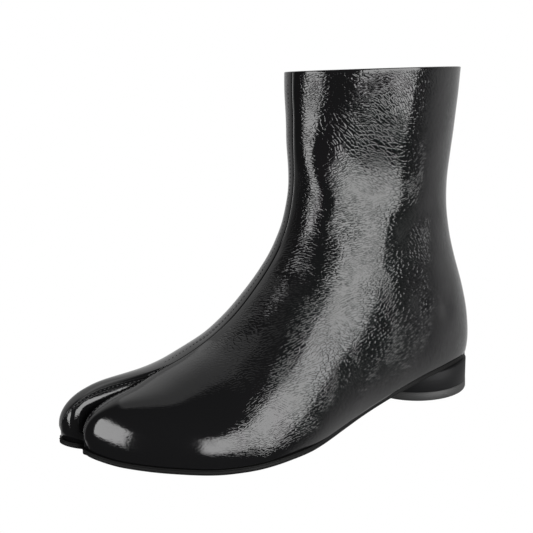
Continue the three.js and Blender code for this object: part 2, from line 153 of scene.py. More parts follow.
def level(table, x, column):
    """A curve through a table that never overshoots its knots."""
    xs, ys = table[:, 0], table[:, column]
    slopes = np.diff(ys) / np.diff(xs)
    tangents = np.zeros(len(xs))
    for k in range(1, len(xs) - 1):
        before, after = slopes[k - 1], slopes[k]
        if before * after > 0:
            tangents[k] = 2 * before * after / (before + after)
    x = np.clip(x, xs[0], xs[-1])
    i = np.clip(np.searchsorted(xs, x) - 1, 0, len(xs) - 2)
    span = xs[i + 1] - xs[i]
    t = (x - xs[i]) / span
    h = t * t * (3 - 2 * t)
    bend = t * (1 - t) ** 2 * tangents[i] - t * t * (1 - t) * tangents[i + 1]
    return ys[i] * (1 - h) + ys[i + 1] * h + span * bend


def smooth(t):
    """A soft step from 0 to 1."""
    u = np.clip(t, 0, 1)
    return u * u * (3 - 2 * u)


def closing(x, start, tip, power):
    """Falls from 1 at the start to 0 at the tip, like a rounded end."""
    u = np.clip((x - start) / (tip - start), 0, 1)
    return np.maximum(1 - u ** power, 0) ** (1 / power)


def mix(a, b, t):
    return a + (b - a) * t


def in_plane(points, y):
    """Puts y between the x and z of these points."""
    return np.stack([points[..., 0], y, points[..., 1]], -1)


class Shape:
    """The boot's skin, as grids over stations and places across them."""

    def __init__(self):
        self.size = SIZE
        self.cleft = CLEFT
        self.bends = spline_bends(SECTIONS)

    def seat(self, x):
        """Height of the sole's upper face."""
        z = self.size
        share = x / z["length"]
        lift = (z["heel"] - z["sole"]) * level(SOLE_LIFT, share, 1)
        return z["sole"] + lift + z["spring"] * level(SOLE_LIFT, share, 2)

    def row(self, s):
        """The table's columns at these stations."""
        i = np.clip(np.floor(s).astype(int), 0, LAST - 1)
        b = (s - i)[:, None]
        a = 1 - b
        y, m = SECTIONS, self.bends
        r = a * y[i] + b * y[i + 1] + ((a ** 3 - a) * m[i] + (b ** 3 - b) * m[i + 1]) / 6
        return {c: r[:, k] for k, c in enumerate(COLUMNS)}

    def frame(self, s, side, inset=0.0, cleft_inset=0.0):
        """What places the arcs of one side at these stations."""
        z, row = self.size, self.row(s)
        length = z["length"]
        tip = TOES[side][0] * length - inset
        tip_y = TOES[side][1] * z["ball"]
        pull = (tip - SECTIONS[0, 0] * length) * np.maximum(1 - s / 2, 0) ** 2
        x = row["tx"] * length + pull
        fx = row["bx"] * length + pull
        tz = self.seat(x) + row["ti"] * z["instep"] + row["tc"] * (z["collar"] - z["instep"])
        fz = self.seat(fx) + row["bh"] * z["collar"]
        reach = np.hypot(fx - x, fz - tz)
        down = np.stack([(fx - x) / reach, (fz - tz) / reach], -1)
        wide = np.stack([mix(x, fx, row["wide"]), mix(tz, fz, row["wide"])], -1)
        front = s < IN_FRONT

        def closed(over, power):
            return np.where(front, closing(x, tip - over * length, tip, power), 1)
        close_ridge = closed(NOSE["ridge"], NOSE["n_ridge"])
        close_out = closed(NOSE["outline"], NOSE["n_out"])
        close_in = closed(NOSE["cleft_side"], NOSE["n_cleft"])
        above = np.maximum((reach * row["wide"] - inset) * close_ridge, FLATTEST)
        below = reach * (1 - row["wide"]) - inset
        ridge = wide - down * above[:, None]
        bottom = wide + down * below[:, None]
        # The cleft first reaches down to the sole and then opens.
        end = self.cleft["end"] * length - cleft_inset
        run = self.cleft["run"] * length
        share = np.where(front, smooth((x - end) / run), 0)
        opened = np.where(front, np.clip((x - end - run) / (self.cleft["open"] * length), 0, 1), 0)
        thick = np.where(front, smooth((x - end - run) / (WALL_RUN * z["wall"])), 0)
        half_gap = z["toe_gap"] / 2 * opened + cleft_inset * thick
        inner = mix(tip_y, row["seam"] * z["ball"] + side * half_gap, close_in)
        half = row["out"] if side == OUTER else row["in"]
        outer = mix(tip_y, side * (half * z["ball"] - inset), close_out)
        lobe = np.abs(outer - inner)
        rounding = np.where(front, smooth((x - end) / (self.cleft["shoulder"] * length)), 0)
        shoulder = np.minimum(mix(z["seam_half"], LOBE_SHOULDER * lobe, rounding), lobe / 2)
        parted = smooth((x / length - PARTING) / PARTING_RUN)
        return dict(
            ridge=ridge, wide=wide, bottom=bottom, down=down, inner=inner, outer=outer,
            crest=inner + side * shoulder,
            middle=np.where(front, (inner + outer) / 2 * parted, 0),
            depth=mix(z["seam_depth"], ridge[:, 1] - self.seat(ridge[:, 0]), share),
            steep=2 + share + 2 * opened,
            nu=row["no"] if side == OUTER else row["ni"],
            nl=row["nl"],
            tuck=NOSE["tuck"] * length * (1 - close_out),
        )

    def meeting(self, f):
        """The angle at which each lower arc meets the sole, or a right angle at the back."""
        low, high = np.zeros(len(f["nl"])), np.full(len(f["nl"]), np.pi / 2)

        def over(angle):
            fall = np.sin(angle) ** (2 / f["nl"])
            p = mix(f["wide"], f["bottom"], fall[:, None])
            return p[:, 1] - self.seat(p[:, 0] - f["tuck"] * fall)
        closed = over(high) >= -1e-7
        for _ in range(36):
            mid = (low + high) / 2
            up = over(mid) > 0
            low, high = np.where(up, mid, low), np.where(up, high, mid)
        return np.where(closed, np.pi / 2, low)

    def skin(self, s, side, groove, upper, lower, inset=0.0, cleft_inset=0.0):
        """Grid of points for these stations, from the seam over the crest to the sole."""
        frame = self.frame(s, side, inset, cleft_inset)
        f = {name: value[:, None] for name, value in frame.items()}
        angle = np.linspace(np.pi / 2, 0, groove + 1)[None, :-1]
        y = mix(f["crest"], f["inner"], np.sin(angle) ** (2 / f["steep"]))
        drop = f["depth"] * (1 - np.cos(angle).clip(0) ** (2 / f["steep"]))
        in_groove = in_plane(f["ridge"] + f["down"] * drop[..., None], y)
        angle = np.linspace(0, np.pi / 2, upper + 1)[None, :-1]
        y = mix(f["crest"], f["outer"], np.sin(angle) ** (2 / f["nu"]))
        rise = np.cos(angle) ** (2 / f["nu"])
        over_crest = in_plane(mix(f["wide"], f["ridge"], rise[..., None]), y)
        angle = np.linspace(0, 1, lower + 1)[None, :] * self.meeting(frame)[:, None]
        y = mix(f["middle"], f["outer"], np.cos(angle).clip(0) ** (2 / f["nl"]))
        fall = np.sin(angle) ** (2 / f["nl"])
        to_sole = in_plane(mix(f["wide"], f["bottom"], fall[..., None]), y)
        to_sole[..., 0] -= f["tuck"] * fall
        return np.concatenate([in_groove, over_crest, to_sole], 1)


shape = Shape()


# Stations along the boot and the leather's own relief

def crossing(test, low, high):
    """The value where a falling function of one number crosses zero."""
    for _ in range(50):
        middle = (low + high) / 2
        if test(middle) > 0:
            low = middle
        else:
            high = middle
    return (low + high) / 2


# How far behind the first station the toe's stations start, as a share of a
# quarter turn, and the stations before the heel that crowd towards it.
TIP_TURN = 0.98
HEEL_RUN = 1.3


def station_list(counts, inset=0.0, cleft_inset=0.0):
    """Stations from the toes to the collar, the one where the cleft reaches the
    sole and the one where the sections close at the back."""
    toe, run, foot, seat, shaft = counts
    ridge_x = lambda s: shape.frame(np.array([s]), OUTER, inset, cleft_inset)["ridge"][0, 0]
    end = shape.cleft["end"] * shape.size["length"] - cleft_inset
    run_length = shape.cleft["run"] * shape.size["length"]
    floor_at = crossing(lambda s: ridge_x(s) - end - run_length, 0, IN_FRONT)
    end_at = crossing(lambda s: ridge_x(s) - end, 0, IN_FRONT)

    def under_sole(s):
        bottom = shape.frame(np.array([s]), OUTER, inset, cleft_inset)["bottom"][0]
        return shape.seat(bottom[:1])[0] - bottom[1]
    heel_at = crossing(under_sole, 7, 14)
    seat_from = heel_at - HEEL_RUN
    part = lambda a, b, n: a + (b - a) * np.arange(n) / n
    turn = (1 - np.arange(toe) / toe) * TIP_TURN * math.pi / 2
    stations = np.concatenate([
        floor_at * (1 - np.sin(turn)),
        part(floor_at, end_at, run),
        part(end_at, seat_from, foot),
        heel_at - (heel_at - seat_from) * (1 - np.arange(seat) / seat) ** 2,
        np.linspace(heel_at, LAST, shaft + 1),
    ])
    return stations, toe, toe + run + foot + seat


SINES = 4


def waves(points, lengths, seed):
    """Soft uneven waves, from sines in directions fixed by the seed."""
    rng = np.random.default_rng(seed)
    total = np.zeros(points.shape[:-1])
    for length in lengths:
        for _ in range(SINES):
            way = rng.normal(size=3)
            way /= np.linalg.norm(way)
            total += np.sin(points @ way * (2 * math.pi / length) + rng.uniform(0, 2 * math.pi)) / SINES
    return total / len(lengths)


def normals_of(grid):
    """Unit normals of a grid of points."""
    along = np.gradient(grid, axis=0)
    across = np.gradient(grid, axis=1)
    n = np.cross(along, across)
    return n / np.maximum(np.linalg.norm(n, axis=-1, keepdims=True), 1e-9)


def distance_to_line(x, z, ends):
    """Distance in the side view to a line between two points, and the place along it."""
    (x0, z0), (x1, z1) = ends
    dx, dz = x1 - x0, z1 - z0
    t = np.clip(((x - x0) * dx + (z - z0) * dz) / (dx * dx + dz * dz), 0, 1)
    return np.hypot(x - x0 - dx * t, z - z0 - dz * t), t


# Soft creases in the worn-in leather, in the side view: the side, both ends
# as (x, z) in mm, the width and the depth. A negative depth is a raised fold.
CREASES = [
    (OUTER, (2, 118), (40, 104), 9.0, 1.1),
    (OUTER, (14, 96), (52, 90), 6.0, 0.55),
    (OUTER, (30, 112), (62, 100), 5.0, -0.45),
    (OUTER, (60, 128), (76, 106), 8.0, 0.9),
    (OUTER, (66, 96), (90, 112), 5.5, 0.5),
    (OUTER, (26, 70), (28, 58), 5.5, 0.7),
    (OUTER, (3, 62), (5, 50), 5.5, 0.7),
    (OUTER, (72, 84), (100, 98), 5.0, -0.4),
    (OUTER, (128, 40), (150, 56), 8.0, 0.35),
    (INNER, (2, 118), (40, 106), 9.0, 1.0),
    (INNER, (16, 98), (56, 92), 6.0, 0.5),
    (INNER, (66, 98), (88, 112), 5.5, 0.45),
    (INNER, (118, 44), (146, 60), 8.0, 0.35),
]
# Where the leather's waves fade in, in mm: over the sole, behind the toes and
# below the collar.
CALM_SOLE = 14
CALM_TOES, TOES_RUN = 175, 45
CALM_COLLAR, COLLAR_RUN = 2, 16
LONG_WAVES = dict(lengths=(61, 43), seed=3)
SHORT_WAVES = dict(lengths=(23, 17), seed=8)
LONG_DEPTH, SHORT_DEPTH = 0.28, 0.14


def relief(grid, side, rim):
    """How far each point of the outer skin moves out, in mm. rim is the
    distance down from the collar."""
    x, z = grid[..., 0], grid[..., 2]
    over_sole = z - shape.seat(x)
    calm = smooth(over_sole / CALM_SOLE) * smooth((CALM_TOES - x) / TOES_RUN)
    calm = calm * smooth((rim - CALM_COLLAR) / COLLAR_RUN)
    out = calm * (LONG_DEPTH * waves(grid, **LONG_WAVES) + SHORT_DEPTH * waves(grid, **SHORT_WAVES))
    for where, start, end, width, depth in CREASES:
        if where != side:
            continue
        far, along = distance_to_line(x, z, (start, end))
        fade = np.sin(np.clip(along, 0.02, 0.98) * math.pi) ** 0.5
        out -= depth * fade * np.exp(-((far / width) ** 2))
    return out


# Meshes

def make_object(name, points, faces, materials, face_materials=None):
    mesh = bpy.data.meshes.new(name)
    mesh.from_pydata((np.asarray(points) * MM).tolist(), [], faces)
    mesh.validate()
    obj = bpy.data.objects.new(name, mesh)
    bpy.context.scene.collection.objects.link(obj)
    for material in materials:
        mesh.materials.append(material)
    if face_materials is not None and len(face_materials) == len(mesh.polygons):
        mesh.polygons.foreach_set("material_index", face_materials)
    mesh.polygons.foreach_set("use_smooth", [True] * len(mesh.polygons))
    mesh.update()
    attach(obj, "root")
    return obj


# Points that share a cell of this grid become one.
CELLS_PER_MM = 200


class Builder:
    """Collects strips and grids of points and welds those that coincide."""

    def __init__(self):
        self.points, self.index, self.faces, self.kinds, self.marks = [], {}, [], [], []

    def ids(self, line):
        keys = np.round(np.asarray(line) * CELLS_PER_MM).astype(int)
        out = []
        for key, point in zip(map(tuple, keys), line):
            if key not in self.index:
                self.index[key] = len(self.points)
                self.points.append(point)
                self.marks.append(0.0)
            out.append(self.index[key])
        return out

    def strip(self, a, b, kind=0):
        for i in range(len(a) - 1):
            quad = [a[i], a[i + 1], b[i + 1], b[i]]
            corners = [c for k, c in enumerate(quad) if c != quad[k - 1]]
            if len(set(corners)) < 3:
                continue
            self.faces.append(corners)
            self.kinds.append(kind)

    def grid(self, rows, kind=0, marks=None):
        lines = [self.ids(row) for row in rows]
        if marks is not None:
            for line, row in zip(lines, marks):
                for i, m in zip(line, row):
                    self.marks[i] = max(self.marks[i], float(m))
        for a, b in zip(lines, lines[1:]):
            self.strip(a, b, kind)

    def make(self, name, materials):
        obj = make_object(name, self.points, self.faces, materials, self.kinds)
        recalculate(obj)
        return obj


def recalculate(obj):
    """Turns all faces outwards."""
    bm = bmesh.new()
    bm.from_mesh(obj.data)
    bmesh.ops.recalc_face_normals(bm, faces=bm.faces)
    bm.to_mesh(obj.data)
    bm.free()
    obj.data.update()


# Materials

class Nodes:
    """A short way to write a material's nodes."""

    def __init__(self, name):
        self.material = bpy.data.materials.new(name)
        self.material.use_nodes = True
        self.tree = self.material.node_tree
        self.shader = self.tree.nodes["Principled BSDF"]

    def add(self, kind, inputs=None, **settings):
        node = self.tree.nodes.new(kind)
        for key, value in settings.items():
            setattr(node, key, value)
        for key, value in (inputs or {}).items():
            if isinstance(value, bpy.types.NodeSocket):
                self.tree.links.new(value, node.inputs[key])
            else:
                node.inputs[key].default_value = value
        return node

    def math(self, operation, a, b=0.5):
        return self.add("ShaderNodeMath", {0: a, 1: b}, operation=operation).outputs[0]

    def set(self, **values):
        for key, value in values.items():
            socket = self.shader.inputs[key.replace("_", " ")]
            if isinstance(value, bpy.types.NodeSocket):
                self.tree.links.new(value, socket)
            else:
                socket.default_value = value

    def place(self, scale=(1, 1, 1)):
        place = self.add("ShaderNodeTexCoord").outputs["Object"]
        return self.add("ShaderNodeMapping", {"Vector": place, "Scale": scale}).outputs["Vector"]

    def noise(self, place, scale, detail):
        return self.add("ShaderNodeTexNoise", {"Vector": place, "Scale": scale, "Detail": detail})

    def bump(self, height, strength, distance, **more):
        inputs = {"Height": height, "Strength": strength, "Distance": distance, **more}
        return self.add("ShaderNodeBump", inputs).outputs[0]


# Nets of folds in the patent leather: how each is turned, and the size of its
# cells in metres. From patch to patch one or the other shows.
LEVEL_NET = dict(turn=(0.1, 0.15, 0.0), cell=(0.0036, 0.0036, 0.0010))
LEANING_NET = dict(turn=(0.2, -0.75, 0.3), cell=(0.0034, 0.0034, 0.0010))
PATCH_FROM, PATCH_TO = 0.45, 0.55
# Share of a cell over which a fold's flank rises.
FLANK = 0.2
# How far the nets wander, and how deep their folds are, in metres.
WANDER, FOLD_DEPTH = 0.014, 0.00007
# Darkest and lightest tone of plain leather, as shares of its color.
DARK_TONE, LIGHT_TONE = 0.75, 1.3


def wrinkle_net(n, place, turn, cell):
    """Height of a net of short flat-topped folds that lie across the leather."""
    turned = n.add(
        "ShaderNodeMapping", {"Vector": place, "Rotation": turn, "Scale": cell}, vector_type="TEXTURE",
    ).outputs["Vector"]
    cells = n.add("ShaderNodeTexVoronoi", {"Vector": turned, "Scale": 1.0}, feature="DISTANCE_TO_EDGE")
    fold = n.add(
        "ShaderNodeMapRange", {"Value": cells.outputs["Distance"], "From Min": 0.0, "From Max": FLANK},
        interpolation_type="SMOOTHSTEP",
    )
    return fold.outputs["Result"]


def patent_leather(name, crinkled=True):
    """Black patent leather. Its fine crinkle is a net of short folds about a
    millimetre apart that turns from patch to patch, weaker at the toes."""
    n = Nodes(name)
    n.set(Base_Color=(0.004, 0.004, 0.0043, 1), Roughness=0.08, Specular_IOR_Level=0.5, IOR=1.5)
    if not crinkled:
        grain = n.noise(n.place(), 420.0, 3.0).outputs["Fac"]
        n.set(Normal=n.bump(grain, 0.25, 0.0002))
        return n.material
    mask = n.add("ShaderNodeAttribute", attribute_name="crinkle").outputs["Fac"]
    place = n.add("ShaderNodeTexCoord").outputs["Object"]
    wander = n.noise(place, 30.0, 1.0).outputs["Color"]
    middle = (0.5, 0.5, 0.5)
    wander = n.add("ShaderNodeVectorMath", {0: wander, 1: middle}, operation="SUBTRACT").outputs[0]
    wander = n.add("ShaderNodeVectorMath", {0: wander, "Scale": WANDER}, operation="SCALE").outputs[0]
    place = n.add("ShaderNodeVectorMath", {0: place, 1: wander}, operation="ADD").outputs[0]
    level_net = wrinkle_net(n, place, **LEVEL_NET)
    leaning_net = wrinkle_net(n, place, **LEANING_NET)
    patch = n.noise(place, 40.0, 0.0).outputs["Fac"]
    patch = n.add("ShaderNodeMapRange", {"Value": patch, "From Min": PATCH_FROM, "From Max": PATCH_TO})
    share = patch.outputs["Result"]
    height = n.add("ShaderNodeMix", {0: share, 2: level_net, 3: leaning_net}, data_type="FLOAT").outputs[0]
    fine = n.bump(n.math("MULTIPLY", height, mask), 1.0, FOLD_DEPTH)
    soft = n.math("MULTIPLY", n.noise(n.place(), 90.0, 2.0).outputs["Fac"], mask)
    n.set(Normal=n.bump(soft, 0.2, 0.0005, Normal=fine))
    return n.material


def plain_leather(name, color, roughness, scale=700.0, strength=0.35):
    n = Nodes(name)
    ramp = n.add("ShaderNodeValToRGB", {"Fac": n.noise(n.place(), 60.0, 4.0).outputs["Fac"]})
    ramp.color_ramp.elements[0].color = [c * DARK_TONE for c in color] + [1]
    ramp.color_ramp.elements[1].color = [min(c * LIGHT_TONE, 1) for c in color] + [1]
    pores = n.add("ShaderNodeTexVoronoi", {"Vector": n.place(), "Scale": scale}, feature="DISTANCE_TO_EDGE")
    grain = n.bump(pores.outputs["Distance"], strength, 0.0003)
    n.set(Base_Color=ramp.outputs["Color"], Roughness=roughness, Normal=grain)
    return n.material


def thread_material():
    n = Nodes("black_thread")
    twist = n.add("ShaderNodeTexWave", {"Vector": n.place(), "Scale": 900.0}).outputs["Fac"]
    ply = n.bump(twist, 0.4, 0.0001)
    n.set(Base_Color=(0.02, 0.02, 0.021, 1), Roughness=0.45, Sheen_Weight=0.2, Normal=ply)
    return n.material


def edge_material(name, color, roughness):
    """Painted edge of stacked or cut leather, with fine lines along it."""
    n = Nodes(name)
    layers = n.noise(n.place((30, 30, 900)), 1.0, 2.0).outputs["Fac"]
    lines = n.bump(layers, 0.35, 0.0002)
    n.set(Base_Color=(*color, 1), Roughness=roughness, Specular_IOR_Level=0.1, Normal=lines)
    return n.material


patent = patent_leather("black_patent")
smooth_patent = patent_leather("black_patent_smooth", crinkled=False)
lining = plain_leather("lining_leather", (0.035, 0.03, 0.026), 0.6)
insole_leather = plain_leather("insole_leather", (0.03, 0.026, 0.023), 0.55)
sole_edge = edge_material("sole_edge_black", (0.005, 0.005, 0.005), 0.55)
sole_face = plain_leather("sole_face_black", (0.022, 0.021, 0.02), 0.5, scale=900.0, strength=0.2)
heel_lacquer = edge_material("heel_lacquer_black", (0.009, 0.009, 0.0095), 0.5)
rubber = plain_leather("rubber_black", (0.02, 0.02, 0.02), 0.6, scale=1200.0, strength=0.15)
thread = thread_material()


# Upper: outer skin with its relief, rounded collar, lining and feather edge

# Places across one side of the skin, in the seam's groove, over the crest and
# down to the sole, and the same for the lining.
GROOVE, UPPER, LOWER = 12, 46, 30
LINING_PLACES = (4, 16, 12)
# Stations along the toes, the cleft's end, the foot, the heel and the shaft.
UPPER_COUNTS = (60, 26, 110, 34, 110)
# Where the relief fades out, in mm: behind the cleft's end, beside the seam
# and at the sole.
RELIEF = dict(cleft_run=8, seam_start=1, seam_run=4, sole_run=3)
# Where the crinkle fades out, in mm, and what is left on the toes and at the sole.
CRINKLE = dict(
    seam_start=2, seam_run=6, collar_start=0.2, collar_run=1.5, toes_start=172, toes_run=55, on_toes=0.12,
    sole_run=14, at_sole=0.35,
)
# Sections whose distance to the collar counts, and a distance for the others.
NEAR_COLLAR, FAR = 2, 99
# Rows of the shaft that tell which way the normals point.
SHAFT_ROWS = 20
# The collar's roll: its lines, its height, and the strip that covers its joint
# with the lining, in mm.
ROLL_LINES, ROLL_RISE, ROLL_STRIP = 8, 0.55, 0.02


def seam_points(stations, inset=0.0, cleft_inset=0.0):
    """The bottom of the seam's groove, where both sides of the skin meet."""
    ends = [shape.skin(stations, side, 1, 1, 1, inset, cleft_inset)[:, 0] for side in (OUTER, INNER)]
    middle = (ends[0] + ends[1]) / 2
    middle[:, 1] = shape.frame(stations, OUTER)["inner"]
    return middle


def outer_skin(side, counts):
    """The outer skin of one side with its relief, and how crinkled it is."""
    stations, floor_index, heel_index = station_list(counts)
    grid = shape.skin(stations, side, GROOVE, UPPER, LOWER)
    rim = np.linalg.norm(grid - grid[-1][None], axis=-1)
    rim[stations < LAST - NEAR_COLLAR] = FAR
    normal = normals_of(grid)
    outward = np.sign(np.mean(normal[-SHAFT_ROWS:, :, 1]) * side)
    move = relief(grid, side, rim)
    across = np.linalg.norm(np.diff(grid, axis=1), axis=-1)
    from_seam = np.concatenate([np.zeros((len(grid), 1)), np.cumsum(across, axis=1)], axis=1)
    x = grid[..., 0]
    cleft_run = RELIEF["cleft_run"]
    behind = smooth((shape.cleft["end"] * shape.size["length"] + cleft_run / 2 - x) / cleft_run)
    move *= mix(1, smooth((from_seam - RELIEF["seam_start"]) / RELIEF["seam_run"]), behind)
    move[:, 0] = 0
    move[heel_index:, -1] = 0
    over = grid[..., 2] - shape.seat(x)
    move *= smooth(over / RELIEF["sole_run"])
    grid = grid + normal * (outward * move)[..., None]
    crinkle = smooth((from_seam - CRINKLE["seam_start"]) / CRINKLE["seam_run"])
    crinkle *= smooth((rim - CRINKLE["collar_start"]) / CRINKLE["collar_run"])
    crinkle *= mix(CRINKLE["on_toes"], 1, smooth((CRINKLE["toes_start"] - x) / CRINKLE["toes_run"]))
    crinkle *= mix(CRINKLE["at_sole"], 1, smooth(over / CRINKLE["sole_run"]))
    grid[floor_index:, 0] = seam_points(stations[floor_index:])
    return grid, crinkle, floor_index, heel_index


def feather(outer, inner, floor_index, heel_index):
    """The line where a skin meets the sole, around both toes and the cleft."""
    return np.concatenate([
        outer[heel_index::-1, -1], outer[:floor_index + 1, 0],
        inner[floor_index - 1::-1, 0], inner[:heel_index + 1, -1],
    ])


def close_tip(build, row, kind=0):
    """Closes the small opening that the first station leaves at a toe's tip."""
    ids = build.ids(row)
    half = len(ids) / 2
    build.strip(ids[:math.ceil(half)], ids[math.floor(half):][::-1], kind)


def build_upper():
    build = Builder()
    wall = shape.size["wall"]
    inner_stations, inner_floor, inner_heel = station_list(UPPER_COUNTS, wall, wall)
    skins = {}
    for side in (OUTER, INNER):
        grid, crinkle, floor_index, heel_index = outer_skin(side, UPPER_COUNTS)
        build.grid(grid, 0, marks=crinkle)
        close_tip(build, grid[0])
        inside = shape.skin(inner_stations, side, *LINING_PLACES, wall, wall)
        inside[inner_floor:, 0] = seam_points(inner_stations[inner_floor:], wall, wall)
        build.grid(inside, 1)
        close_tip(build, inside[0], 1)
        skins[side] = (grid, inside)
        # The collar rolls over from the skin to the lining.
        outer_rim, inner_rim = grid[-1], inside[-1]
        from_inner = np.stack([
            np.interp(arc_share(outer_rim), arc_share(inner_rim), inner_rim[:, k]) for k in range(3)
        ], axis=-1)
        lines = [outer_rim]
        for turn in np.linspace(0, math.pi, ROLL_LINES)[1:-1]:
            line = mix(outer_rim, from_inner, (1 - math.cos(turn)) / 2)
            lines.append(line + np.array([0, 0, ROLL_RISE * math.sin(turn)]))
        lines.append(from_inner)
        build.grid(lines, 2)
        build.grid([from_inner, from_inner - np.array([0, 0, ROLL_STRIP])], 1)
    (outer, inside_outer), (inner, inside_inner) = skins[OUTER], skins[INNER]
    outside_edge = feather(outer, inner, floor_index, heel_index)
    inside_edge = feather(inside_outer, inside_inner, inner_floor, inner_heel)
    build.grid([outside_edge, inside_edge], 1)
    obj = build.make("upper_leather", [patent, lining, smooth_patent])
    attribute = obj.data.attributes.new("crinkle", "FLOAT", "POINT")
    marks = np.array(build.marks[:len(obj.data.vertices)], dtype=np.float32)
    attribute.data.foreach_set("value", marks)
    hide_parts("upper")
    return obj


def arc_share(line):
    """How far along the line each point is, from 0 to 1."""
    steps = np.linalg.norm(np.diff(line, axis=0), axis=-1)
    total = np.concatenate([[0], np.cumsum(steps)])
    return total / total[-1]


upper = build_upper()


# Outsole and insole: flat plates with a rounded edge, split at the toes

# Stations along the toes, the cleft's end, the foot, the heel and the shaft.
PLATE_COUNTS = (34, 10, 70, 24, 2)
# How far inside the upper's edge the outsole's stations start, in mm.
SOLE_START = 0.4


def outline_rows(edge, step, cleft_inset, flared):
    """The plate's rim and middle lines on both sides, from the tips to the heel.
    A flared plate follows the sole's edge, others lie at one distance inside."""
    stations, floor_index, heel_index = station_list(PLATE_COUNTS, edge + step, cleft_inset + step)
    place = shape.frame(stations, OUTER)
    margin = np.full(len(stations), edge)
    if flared:
        margin = -shape.size["sole"] * level(SOLE_EDGE, place["bottom"][:, 0] / shape.size["length"], 1)
    ends = []
    for side in (OUTER, INNER):
        rows = []
        for i in range(heel_index + 1):
            one = stations[i:i + 1]
            rows.append(shape.skin(one, side, 1, 1, 1, margin[i] + step, cleft_inset + step)[0])
        ends.append(np.array(rows))
    outer, inner = ends
    rim_o, rim_i = outer[:, -1], inner[:, -1]
    rim_o[-1, 1] = rim_i[-1, 1] = 0
    centre_o, centre_i = outer[:, 0].copy(), inner[:, 0].copy()
    middle = (rim_o + rim_i) / 2
    middle[floor_index] = centre_o[floor_index]
    middle[floor_index, 1] = place["inner"][floor_index]
    centre_o[floor_index:] = middle[floor_index:]
    centre_i[floor_index:] = middle[floor_index:]
    return (rim_o, centre_o, centre_i, rim_i), floor_index


def around(rows, floor_index):
    """The plate's outline, around both toes and the cleft."""
    rim_o, centre_o, centre_i, rim_i = rows
    return np.concatenate([rim_o[::-1], centre_o[:floor_index + 1], centre_i[floor_index - 1::-1], rim_i])


def lay(points, rise):
    """Lays points on the sole's upper face, raised by rise mm."""
    out = points.copy()
    out[..., 2] = shape.seat(points[..., 0]) + rise
    return out


def build_plate(name, edge, cleft_inset, levels, materials, flared=False):
    """A plate from loops, each stepped in and raised by these mm. Its underside
    has the last material."""
    build = Builder()
    loops, fills = [], []
    for step, rise in levels:
        rows, floor_index = outline_rows(edge, step, cleft_inset, flared)
        loops.append(lay(around(rows, floor_index), rise))
        fills.append([lay(r, rise) for r in rows])
    for above, below in zip(loops, loops[1:]):
        build.grid([above, below], 0)
    for fill, kind in ((fills[0], 0), (fills[-1], len(materials) - 1)):
        build.grid([fill[0], mix(fill[0], fill[1], 0.5), fill[1]], kind)
        build.grid([fill[2], mix(fill[2], fill[3], 0.5), fill[3]], kind)
    return build.make(name, materials)


sole = shape.size["sole"]
# A raised line at the top of the edge, a groove below it and a rounded foot.
sole_levels = [
    (0.5, -0.32), (0.12, -0.34), (0.0, -0.5), (0.0, -0.95), (0.22, -1.12), (0.22, -1.3), (0.06, -1.45),
    (0.06, -0.8 * sole), (0.3, -0.93 * sole), (0.9, -sole),
]
outsole = build_plate("outsole_leather", SOLE_START, 0.0, sole_levels, [sole_edge, sole_face], flared=True)
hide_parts("outsole")

insole_edge = shape.size["wall"] + shape.size["insole_play"]
thick = shape.size["insole"]
insole_levels = [(0.6, thick), (0.2, thick - 0.1), (0.0, thick - 0.4), (0.0, 0.0)]
insole = build_plate("insole_cover", insole_edge, insole_edge, insole_levels, [insole_leather])
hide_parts("insole")


# Heel block and top piece

RING_STEPS = 160


def ring(radius, height):
    """A closed ring of points, at the height that the function gives for x."""
    angle = np.linspace(0, 2 * math.pi, RING_STEPS + 1)
    angle[-1] = 0
    x, y = radius * np.cos(angle), radius * np.sin(angle)
    return np.stack([x, y, height(x)], axis=-1)


def build_round(name, levels, material):
    """A round block from rings, closed at its first and its last one."""
    build = Builder()
    build.grid([ring(radius, height) for radius, height in levels], 0)
    for radius, height in (levels[0], levels[-1]):
        build.grid([ring(radius * scale, height) for scale in (1, 0.75, 0.5, 0.25, 0.0)], 0)
    return build.make(name, [material])


radius = shape.size["heel_radius"]
flare = shape.size["heel_flare"]
top_piece_height = shape.size["top_piece"]
under_sole = lambda x: shape.seat(x) - sole - shape.size["clearance"]
at = lambda value: (lambda x: np.full_like(x, value))
heel = build_round("heel_block", [
    (radius + flare - 0.3, under_sole),
    (radius + flare, lambda x: under_sole(x) - 0.3),
    (radius + flare * 0.5, lambda x: mix(under_sole(x), top_piece_height, 0.5)),
    (radius, at(top_piece_height + 0.35)),
    (radius - 0.25, at(top_piece_height + 0.02)),
], heel_lacquer)
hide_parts("heel")
top_piece = build_round("heel_top_piece", [
    (radius - 0.2, at(top_piece_height)),
    (radius + 0.05, at(top_piece_height - 0.25)),
    (radius + 0.05, at(0.8)),
    (radius - 0.2, at(0.2)),
    (radius - 0.6, at(0.0)),
], rubber)
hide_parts("top_piece")


# Seams: raised edges and rows of stitches that follow the skin

def skin_line(side, stations, v, lift):
    """Points on the outer skin at place v across it, moved out by lift mm. The
    groove takes v from 0 to 1 and the arc over the crest from 1 to 2."""
    grid = shape.skin(stations, side, GROOVE, UPPER, LOWER)
    normal = normals_of(grid)
    outward = np.sign(np.mean(normal[-4:, GROOVE + 10:-10, 1]) * side)
    place = v * GROOVE if v < 1 else GROOVE + (v - 1) * UPPER
    low = int(place)
    point = mix(grid[:, low], grid[:, low + 1], place - low)
    n = mix(normal[:, low], normal[:, low + 1], place - low) * outward
    return point + n * lift, n


# How thin a strand gets at its ends.
THIN_END = 0.35


